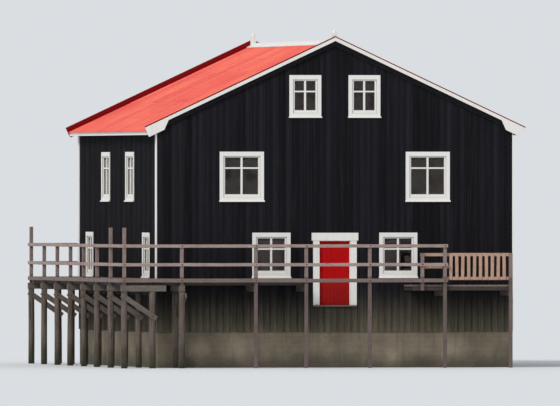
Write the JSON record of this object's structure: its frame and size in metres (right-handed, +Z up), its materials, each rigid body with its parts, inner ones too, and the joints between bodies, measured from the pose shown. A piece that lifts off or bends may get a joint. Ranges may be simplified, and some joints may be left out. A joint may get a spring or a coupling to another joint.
{
  "type": "boathouse",
  "caption": "Black timber boathouse with a red metal gable roof, white trim and a red door, on a concrete foundation with a braced pile deck and railings.",
  "frame": {"origin": "middle of the foot of the front foundation wall, at the lowest level of ground or water", "axes": "+Y from the front gable to the back gable along the ridge, +X to the right seen from the front, +Z up"},
  "size_m": [12.4689, 15.3823, 9.9807],
  "materials": {
    "concrete": "rough cast concrete, weathered and stained",
    "floor_timber": "plain sawn boards",
    "tarred_cladding": "upright boards and battens under black tar paint, dull sheen",
    "white_paint": "white painted boards, slightly weathered",
    "window_glass": "clear window glass",
    "threshold_timber": "worn dark timber",
    "black_iron": "black forged iron",
    "red_paint": "bright red gloss paint",
    "roof_timber": "sawn boards, darkened",
    "red_roof_metal": "red painted corrugated sheets, satin",
    "white_metal": "white painted sheet metal",
    "pile_timber": "rough weathered round timber, dark at the foot",
    "deck_timber": "weathered grey deck boards",
    "rail_timber": "weathered brown-grey rails",
    "balustrade_timber": "weathered tan boards with a pink tone"
  },
  "bodies": {
    "house": {"foundation_ends": "concrete", "foundation_sides": "concrete", "ground_floor": "floor_timber", "upper_floor": "floor_timber", "attic_floor": "floor_timber", "front_wall_left": "tarred_cladding", "front_wall_right": "tarred_cladding", "front_wall_middle": "tarred_cladding", "front_gable": "tarred_cladding", "back_wall": "tarred_cladding", "left_wall": "tarred_cladding", "right_wall": "tarred_cladding", "corner_boards": "white_paint", "window_frames_front": "white_paint", "window_frames_back": "white_paint", "window_frames_left": "white_paint", "window_frames_right": "white_paint", "door_jambs": "white_paint", "door_head": "white_paint", "barge_boards_left": "white_paint", "barge_boards_right": "white_paint", "eave_boards": "white_paint", "window_glass": "window_glass", "door_threshold": "threshold_timber", "hinge_pintles": "black_iron", "roof_deck_left": "roof_timber", "roof_deck_right": "roof_timber", "roof_sheet_left": "red_roof_metal", "roof_sheet_right": "red_roof_metal", "ridge_cap": "white_metal", "finials": "white_metal", "piles": "pile_timber", "cap_beams": "pile_timber", "braces": "pile_timber", "stringers_left": "pile_timber", "stringers_ends": "pile_timber", "deck_left": "deck_timber", "deck_ends": "deck_timber", "deck_right": "deck_timber", "rail_posts": "rail_timber", "rails_left": "rail_timber", "rails_ends": "rail_timber", "balustrade_right": "balustrade_timber"},
    "door": {"door_leaf": "red_paint", "hinge_straps": "black_iron", "door_knobs": "black_iron"}
  },
  "joints": [
    {"name": "door_hinge", "type": "hinge", "parent": "house", "child": "door", "pos_m": [-0.476, -0.02992, 2.8], "axis": [0, 0, 1], "range_deg": [0, 100]}
  ]
}
